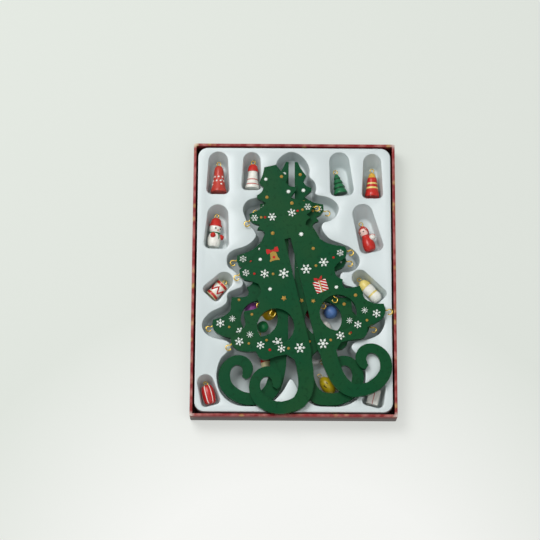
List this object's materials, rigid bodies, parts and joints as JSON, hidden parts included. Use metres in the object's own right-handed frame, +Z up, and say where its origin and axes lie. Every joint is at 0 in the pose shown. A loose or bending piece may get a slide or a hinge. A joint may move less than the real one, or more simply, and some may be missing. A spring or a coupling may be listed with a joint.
{
  "type": "flat packed wooden tree set",
  "caption": "Flat-packed wooden christmas tree of slotted green panels with brass hooks, lying with turned wooden ornaments in a moulded liner in an open card box.",
  "frame": {"origin": "middle of the box's underside", "axes": "+Y along the box towards the tree's top, +Z up out of the open box, +X towards the tree's right branches as seen from above"},
  "size_m": [0.225, 0.3102, 0.0323],
  "materials": {
    "printed_card": "satin",
    "white_styrene": "gloss",
    "green_board": "satin",
    "brass_wire": "polished",
    "red_paint": "gloss",
    "white_paint": "gloss",
    "green_paint": "gloss",
    "yellow_paint": "gloss",
    "purple_paint": "gloss",
    "blue_paint": "gloss",
    "cream_paint": "gloss"
  },
  "bodies": {
    "boxed_liner": {"card_box": "printed_card", "liner_tray": "white_styrene"},
    "back_panel": {"tree_panel_back": "green_board", "back_hook_left_upper": "brass_wire", "back_hook_left_middle": "brass_wire", "back_hook_left_lower": "brass_wire", "back_hook_right_upper": "brass_wire", "back_hook_right_middle": "brass_wire", "back_hook_right_lower": "brass_wire", "back_hole_hook_left": "brass_wire", "back_hole_hook_right": "brass_wire"},
    "front_panel": {"tree_panel_front": "green_board", "front_hook_left_upper": "brass_wire", "front_hook_left_middle": "brass_wire", "front_hook_left_lower": "brass_wire", "front_hook_right_upper": "brass_wire", "front_hook_right_middle": "brass_wire", "front_hook_right_lower": "brass_wire", "front_hole_hook_left": "brass_wire", "front_hole_hook_right": "brass_wire"},
    "loose_red_bell": {"red_bell": "red_paint", "red_bell_eye": "brass_wire"},
    "loose_capped_bell": {"capped_bell": "white_paint", "capped_bell_eye": "brass_wire"},
    "loose_mini_tree": {"mini_tree": "green_paint", "mini_tree_eye": "brass_wire"},
    "loose_banded_bell": {"banded_bell": "red_paint", "banded_bell_eye": "brass_wire"},
    "loose_snowman": {"snowman": "white_paint", "snowman_eye": "brass_wire"},
    "loose_robed_figure": {"robed_figure": "red_paint", "robed_figure_eye": "brass_wire"},
    "loose_drum": {"drum": "red_paint", "drum_eye": "brass_wire"},
    "loose_double_bulb": {"double_bulb": "white_paint", "double_bulb_eye": "brass_wire"},
    "loose_barrel": {"barrel": "red_paint", "barrel_eye": "brass_wire"},
    "loose_gift_block": {"gift_block": "white_paint", "gift_block_eye": "brass_wire"},
    "loose_purple_ball": {"purple_ball": "purple_paint", "purple_ball_eye": "brass_wire"},
    "loose_yellow_onion": {"yellow_onion": "yellow_paint", "yellow_onion_eye": "brass_wire"},
    "loose_green_ball": {"green_ball": "green_paint", "green_ball_eye": "brass_wire"},
    "loose_red_ball": {"red_ball": "red_paint", "red_ball_eye": "brass_wire"},
    "loose_blue_ball": {"blue_ball": "blue_paint", "blue_ball_eye": "brass_wire"},
    "loose_white_egg": {"white_egg": "white_paint", "white_egg_eye": "brass_wire"},
    "loose_silver_bell": {"silver_bell": "white_paint", "silver_bell_eye": "brass_wire"},
    "loose_yellow_lemon": {"yellow_lemon": "yellow_paint", "yellow_lemon_eye": "brass_wire"},
    "loose_cream_candle": {"cream_candle": "cream_paint", "cream_candle_eye": "brass_wire"}
  },
  "joints": [
    {"name": "back_panel_lift", "type": "slide", "parent": "boxed_liner", "child": "back_panel", "axis": [0, 0, 1], "range_m": [0, 0.12]},
    {"name": "front_panel_lift", "type": "slide", "parent": "back_panel", "child": "front_panel", "axis": [0, 0, 1], "range_m": [0, 0.12]},
    {"name": "red_bell_lift", "type": "slide", "parent": "boxed_liner", "child": "loose_red_bell", "axis": [0, 0, 1], "range_m": [0, 0.06]},
    {"name": "capped_bell_lift", "type": "slide", "parent": "boxed_liner", "child": "loose_capped_bell", "axis": [0, 0, 1], "range_m": [0, 0.06]},
    {"name": "mini_tree_lift", "type": "slide", "parent": "boxed_liner", "child": "loose_mini_tree", "axis": [0, 0, 1], "range_m": [0, 0.06]},
    {"name": "banded_bell_lift", "type": "slide", "parent": "boxed_liner", "child": "loose_banded_bell", "axis": [0, 0, 1], "range_m": [0, 0.06]},
    {"name": "snowman_lift", "type": "slide", "parent": "boxed_liner", "child": "loose_snowman", "axis": [0, 0, 1], "range_m": [0, 0.06]},
    {"name": "robed_figure_lift", "type": "slide", "parent": "boxed_liner", "child": "loose_robed_figure", "axis": [0, 0, 1], "range_m": [0, 0.06]},
    {"name": "drum_lift", "type": "slide", "parent": "boxed_liner", "child": "loose_drum", "axis": [0, 0, 1], "range_m": [0, 0.06]},
    {"name": "double_bulb_lift", "type": "slide", "parent": "boxed_liner", "child": "loose_double_bulb", "axis": [0, 0, 1], "range_m": [0, 0.06]},
    {"name": "barrel_lift", "type": "slide", "parent": "boxed_liner", "child": "loose_barrel", "axis": [0, 0, 1], "range_m": [0, 0.06]},
    {"name": "gift_block_lift", "type": "slide", "parent": "boxed_liner", "child": "loose_gift_block", "axis": [0, 0, 1], "range_m": [0, 0.06]},
    {"name": "purple_ball_lift", "type": "slide", "parent": "boxed_liner", "child": "loose_purple_ball", "axis": [0, 0, 1], "range_m": [0, 0.06]},
    {"name": "yellow_onion_lift", "type": "slide", "parent": "boxed_liner", "child": "loose_yellow_onion", "axis": [0, 0, 1], "range_m": [0, 0.06]},
    {"name": "green_ball_lift", "type": "slide", "parent": "boxed_liner", "child": "loose_green_ball", "axis": [0, 0, 1], "range_m": [0, 0.06]},
    {"name": "red_ball_lift", "type": "slide", "parent": "boxed_liner", "child": "loose_red_ball", "axis": [0, 0, 1], "range_m": [0, 0.06]},
    {"name": "blue_ball_lift", "type": "slide", "parent": "boxed_liner", "child": "loose_blue_ball", "axis": [0, 0, 1], "range_m": [0, 0.06]},
    {"name": "white_egg_lift", "type": "slide", "parent": "boxed_liner", "child": "loose_white_egg", "axis": [0, 0, 1], "range_m": [0, 0.06]},
    {"name": "silver_bell_lift", "type": "slide", "parent": "boxed_liner", "child": "loose_silver_bell", "axis": [0, 0, 1], "range_m": [0, 0.06]},
    {"name": "yellow_lemon_lift", "type": "slide", "parent": "boxed_liner", "child": "loose_yellow_lemon", "axis": [0, 0, 1], "range_m": [0, 0.06]},
    {"name": "cream_candle_lift", "type": "slide", "parent": "boxed_liner", "child": "loose_cream_candle", "axis": [0, 0, 1], "range_m": [0, 0.06]}
  ],
  "couplings": [
    {"joint": "capped_bell_lift", "follows": "front_panel_lift", "ratio": 0.5},
    {"joint": "double_bulb_lift", "follows": "front_panel_lift", "ratio": 0.5},
    {"joint": "gift_block_lift", "follows": "front_panel_lift", "ratio": 0.5},
    {"joint": "purple_ball_lift", "follows": "back_panel_lift", "ratio": 0.5},
    {"joint": "yellow_onion_lift", "follows": "back_panel_lift", "ratio": 0.5},
    {"joint": "green_ball_lift", "follows": "back_panel_lift", "ratio": 0.5},
    {"joint": "red_ball_lift", "follows": "back_panel_lift", "ratio": 0.5},
    {"joint": "blue_ball_lift", "follows": "back_panel_lift", "ratio": 0.5},
    {"joint": "white_egg_lift", "follows": "back_panel_lift", "ratio": 0.5},
    {"joint": "silver_bell_lift", "follows": "back_panel_lift", "ratio": 0.5},
    {"joint": "yellow_lemon_lift", "follows": "back_panel_lift", "ratio": 0.5},
    {"joint": "cream_candle_lift", "follows": "back_panel_lift", "ratio": 0.5}
  ]
}
